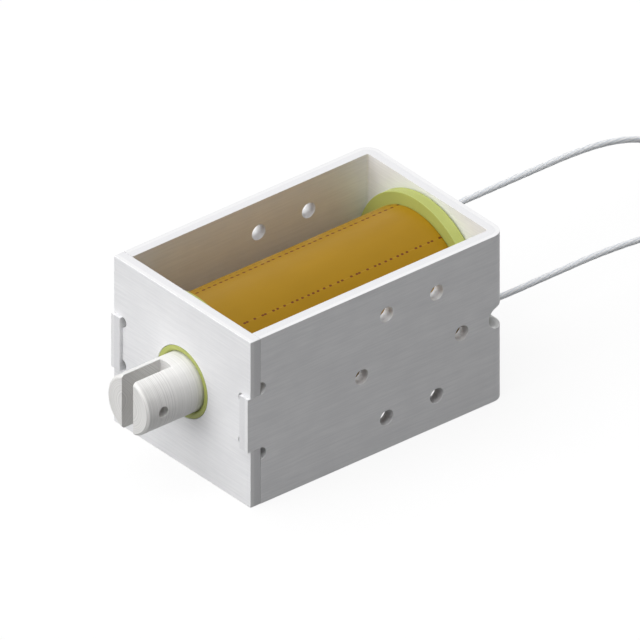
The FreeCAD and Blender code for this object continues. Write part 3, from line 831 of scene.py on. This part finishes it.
# %% Polyester tape
paper, tree, shader = new_material("polyester_tape_under_the_winding", Roughness=0.45)
colour = add(tree, "Mix", {FACTOR: speckle(tree, 3.0), FIRST: "#C7A75A", SECOND: "#D6B86C"}, **COLOURS)
skin = add(tree, "Bump", {"Height": speckle(tree, 1.0), "Distance": 0.02 * MM})
feed(tree, shader, Base_Color=colour, Normal=skin)


# %% Dress the inner pieces
def dress(node, material):
    """Give a solid's own mesh a new material."""
    mesh = nodes[node].data
    mesh.materials.clear()
    mesh.materials.append(material)
    print(node, "gets", material.name)


dress("magnet_wire_coil", copper)
dress("core_tape", paper)
dress("anti_residual_washer", brass)
for side in ("left", "right"):
    dress("magnet_wire_tail_" + side, copper)
    dress("splice_sleeve_" + side, sleeve)
    dress("solder_joint_" + side, solder)

# %% [markdown]
# ## The studio
#
# A large soft lamp hangs above and a weaker one stands in front, so the top is brightest, the front
# a little less, and the right side is in soft shade, as in the picture. A faint one behind lifts
# the back, which the picture doesn't show. The world fills the shade with a weak even light. The
# floor and the world are white where the camera or a reflection sees them, and the floor keeps the
# object's shadow.

# %% The floor
FLOOR_HALF = 2.0
# the floor lies a hair under the object, so that the two surfaces never meet
FLOOR_HEIGHT = -0.03 * MM
# the floor's grey as linear light: dark enough that it throws little light back at the object
FLOOR_GREY = 0.14
# with the lamps' light on it, this glow brings that grey to white
FLOOR_GLOW = 0.855


def shown_white(tree):
    """1 for a ray from the camera or off a glossy or clear surface, and 0 for the light that fills."""
    rays = add(tree, "LightPath").node.outputs
    seen = {0: rays["Is Camera Ray"], 1: rays["Is Glossy Ray"]}
    seen = add(tree, "Math", seen, operation="MAXIMUM")
    return add(tree, "Math", {0: seen, 1: rays["Is Transmission Ray"]}, operation="MAXIMUM")


corners = [(x * FLOOR_HALF, y * FLOOR_HALF, FLOOR_HEIGHT) for x, y in ((-1, -1), (1, -1), (1, 1), (-1, 1))]
floor_mesh = bpy.data.meshes.new("studio_floor")
floor_mesh.from_pydata(corners, [], [(0, 1, 2, 3)])
floor = bpy.data.objects.new("studio_floor", floor_mesh)
bpy.context.scene.collection.objects.link(floor)
paint, tree, shader = new_material("studio_floor_paint", Roughness=0.9, Specular_IOR_Level=0.0,
                                   Base_Color=(FLOOR_GREY, FLOOR_GREY, FLOOR_GREY, 1.0),
                                   Emission_Color=linear("#FFFFFF"))
glow = add(tree, "Math", {0: shown_white(tree), 1: FLOOR_GLOW}, operation="MULTIPLY")
feed(tree, shader, Emission_Strength=glow)
floor_mesh.materials.append(paint)


# %% The lamps
def soft_lamp(name, towards, strength, spread):
    """A distant lamp: it shines from a direction, and its spread in degrees softens the shadows."""
    data = bpy.data.lights.new(name, "SUN")
    data.energy = strength * math.pi
    data.angle = math.radians(spread)
    lamp = bpy.data.objects.new(name, data)
    bpy.context.scene.collection.objects.link(lamp)
    back = np.array(towards) / np.linalg.norm(towards)
    side = np.cross([0.0, 0.0, 1.0], back)
    side /= np.linalg.norm(side)
    pose = np.eye(4)
    pose[:3, :3] = np.stack([side, np.cross(back, side), back], axis=1)
    lamp.matrix_world = Matrix(pose)
    print(name, "shines with", strength)


soft_lamp("lamp_above", (-0.1, -0.28, 0.95), 0.83, 70)
soft_lamp("lamp_in_front", (-0.18, -0.97, 0.14), 0.55, 42)
soft_lamp("lamp_behind", (-0.3, 0.94, 0.1), 0.15, 50)

# %% The world
WORLD_FILL = 0.19
world = bpy.data.worlds.new("plain_studio")
world.use_nodes = True
tree = world.node_tree
fill = tree.nodes["Background"]
fill.inputs["Color"].default_value = linear("#FFFFFF")
strength = add(tree, "MapRange", {"Value": shown_white(tree), "To Min": WORLD_FILL, "To Max": 1.0})
feed(tree, fill, Strength=strength)
bpy.context.scene.world = world
bpy.context.scene.view_settings.view_transform = "Standard"
print("the world fills the shade with", WORLD_FILL)
